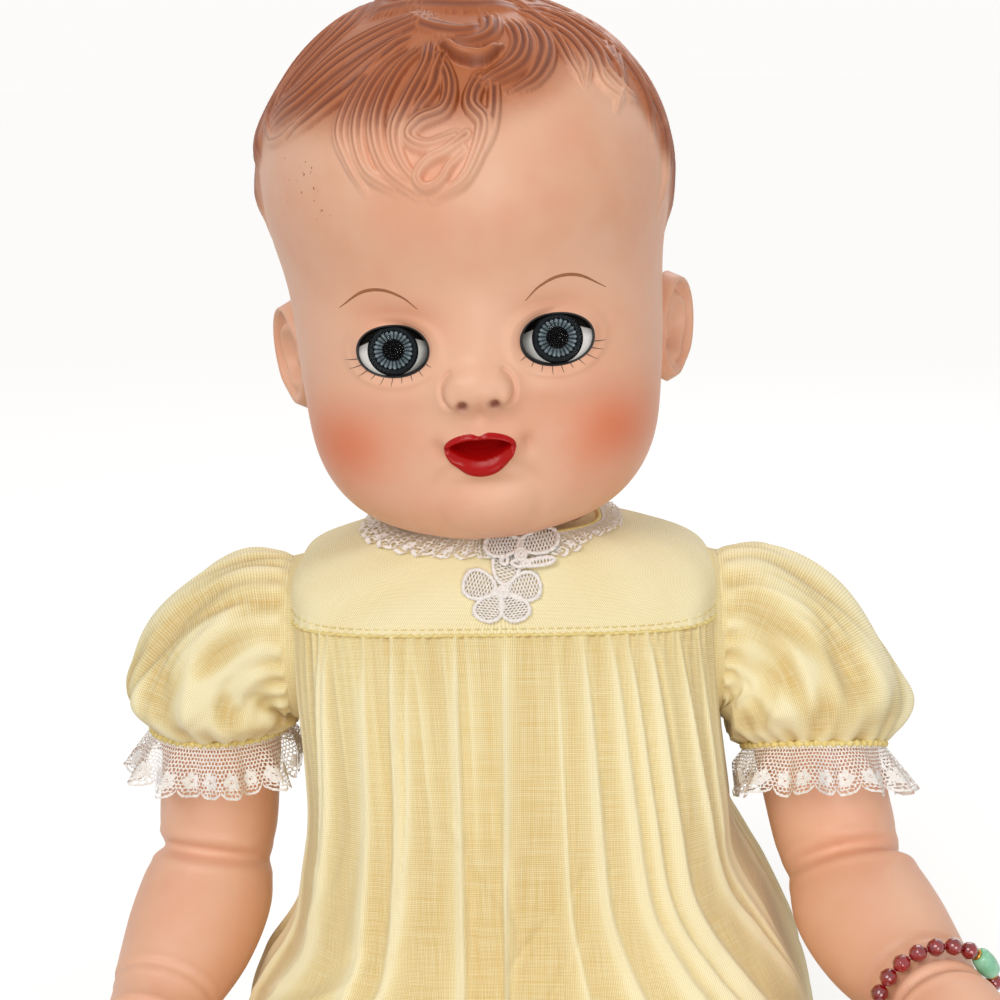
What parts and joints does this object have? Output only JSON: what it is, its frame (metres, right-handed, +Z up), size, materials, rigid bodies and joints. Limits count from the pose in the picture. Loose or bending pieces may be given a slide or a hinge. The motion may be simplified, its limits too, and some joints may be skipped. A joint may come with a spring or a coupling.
{
  "type": "baby doll",
  "caption": "Sitting vinyl baby doll with moulded hair, weighted sleep eyes, turning head, jointed arms and legs, gathered yellow dress with lace and a bead bracelet.",
  "frame": {"origin": "on the floor, under the middle of the sitting doll's box", "axes": "+Z up, the doll faces -Y, and its own left hand is on +X"},
  "size_m": [0.2693, 0.2935, 0.3616],
  "materials": {
    "skin": "soft satin vinyl, painted hair, lips and cheeks",
    "eye_white": "gloss",
    "iris": "gloss, printed rays",
    "eye_lens": "clear gloss",
    "eye_cup": "matte",
    "steel_wire": "drawn wire",
    "lead": "cast, dull",
    "voice_card": "pressed card",
    "voice_cloth": "oiled cloth",
    "reed_plastic": "matte",
    "dress_cloth": "sheer crisp organdy",
    "lace": "cotton lace",
    "button": "pearl gloss",
    "red_glass": "facetted gloss",
    "green_stone": "polished",
    "gold": "bright"
  },
  "bodies": {
    "torso": {"torso_shell": "skin", "voice_can": "voice_card", "voice_lid": "voice_card", "voice_bellows": "voice_cloth", "voice_reed": "reed_plastic", "dress_yoke": "dress_cloth", "dress_skirt": "dress_cloth", "collar_lace": "lace", "flower_applique": "lace", "collar_applique": "lace", "back_button_1": "button", "back_button_2": "button", "back_button_3": "button"},
    "head": {"head_shell": "skin", "eye_cup_left": "eye_cup", "eye_cup_right": "eye_cup"},
    "eyes": {"eyeball_left": "eye_white", "eyeball_right": "eye_white", "iris_left": "iris", "iris_right": "iris", "cornea_left": "eye_lens", "cornea_right": "eye_lens", "eye_axle": "steel_wire", "eye_weight": "lead"},
    "left_arm": {"arm_left": "skin", "sleeve_left": "dress_cloth", "cuff_lace_left": "lace"},
    "right_arm": {"arm_right": "skin", "sleeve_right": "dress_cloth", "cuff_lace_right": "lace"},
    "left_leg": {"leg_left": "skin"},
    "right_leg": {"leg_right": "skin"},
    "voice_slider": {"voice_weight": "lead"},
    "bracelet": {"bracelet_red_beads": "red_glass", "bracelet_green_bead": "green_stone", "bracelet_clasp": "gold"}
  },
  "joints": [
    {"name": "neck_turn", "type": "hinge", "parent": "torso", "child": "head", "pos_m": [-0.0073, 0.0785, 0.204], "axis": [0, 0, 1], "range_deg": [-70, 70]},
    {"name": "eyes_rock", "type": "hinge", "parent": "head", "child": "eyes", "pos_m": [-0.01306, 0.03871, 0.26503], "axis": [0.9982, 0, 0.0593], "range_deg": [0, 58]},
    {"name": "left_shoulder_swing", "type": "hinge", "parent": "torso", "child": "left_arm", "pos_m": [0.0427, 0.0705, 0.1694], "axis": [-1, 0, 0], "range_deg": [-38, 125]},
    {"name": "right_shoulder_swing", "type": "hinge", "parent": "torso", "child": "right_arm", "pos_m": [-0.0573, 0.0705, 0.1694], "axis": [-1, 0, 0], "range_deg": [-28, 135]},
    {"name": "left_hip_swing", "type": "hinge", "parent": "torso", "child": "left_leg", "pos_m": [0.0167, 0.0605, 0.033], "axis": [1, 0, 0], "range_deg": [0, 58]},
    {"name": "right_hip_swing", "type": "hinge", "parent": "torso", "child": "right_leg", "pos_m": [-0.0313, 0.0605, 0.033], "axis": [1, 0, 0], "range_deg": [0, 58]},
    {"name": "voice_weight_slide", "type": "slide", "parent": "torso", "child": "voice_slider", "axis": [0, 1, 0], "range_m": [0, 0.006], "deforming": ["voice_bellows"]},
    {"name": "bracelet_turn", "type": "hinge", "parent": "left_arm", "child": "bracelet", "pos_m": [0.11296, -0.00201, 0.08129], "axis": [0.2355, -0.9622, -0.1365], "continuous": true}
  ]
}
